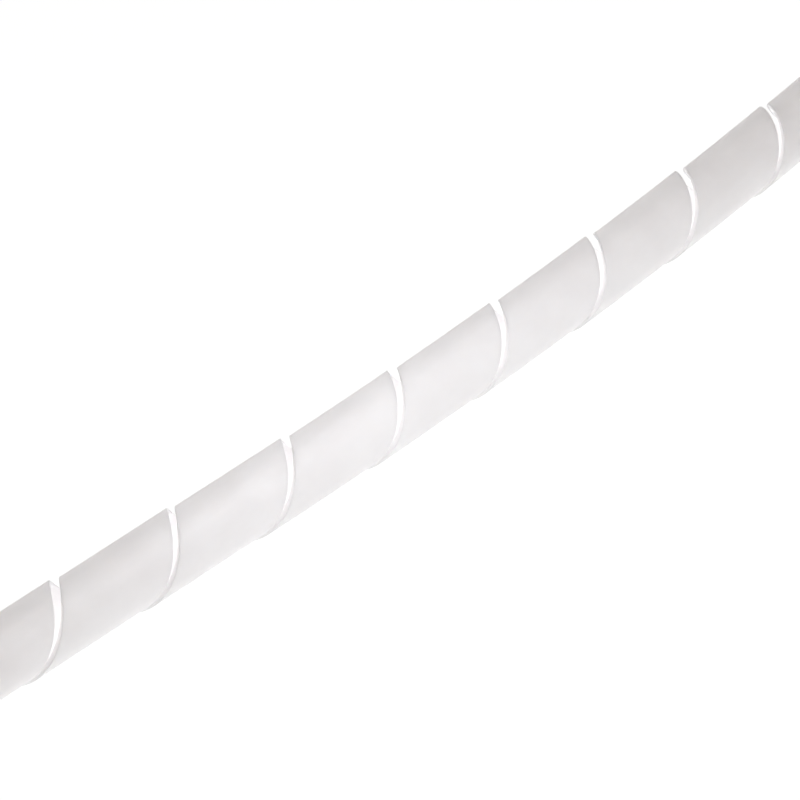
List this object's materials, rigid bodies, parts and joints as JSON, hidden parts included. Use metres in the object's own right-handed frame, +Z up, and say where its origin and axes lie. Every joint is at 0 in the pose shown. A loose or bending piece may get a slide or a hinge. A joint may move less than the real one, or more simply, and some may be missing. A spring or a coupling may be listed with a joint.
{
  "type": "spiral cable wrap",
  "caption": "Milky polyethylene tube slit along a helix, wound round a bundle of cables to gather, guide and protect it.",
  "frame": {"origin": "under the middle of the piece's bounding box, on the level surface that it lies on", "axes": "+X along the straight run, away from the first cut end; +Y to the side that the piece bends towards; +Z up"},
  "size_m": [0.4986, 0.0462, 0.0119],
  "materials": {
    "natural_polyethylene": "milky white natural polyethylene, satin, slightly translucent"
  },
  "bodies": {
    "root": {"spiral_wrap": "natural_polyethylene"}
  },
  "joints": []
}
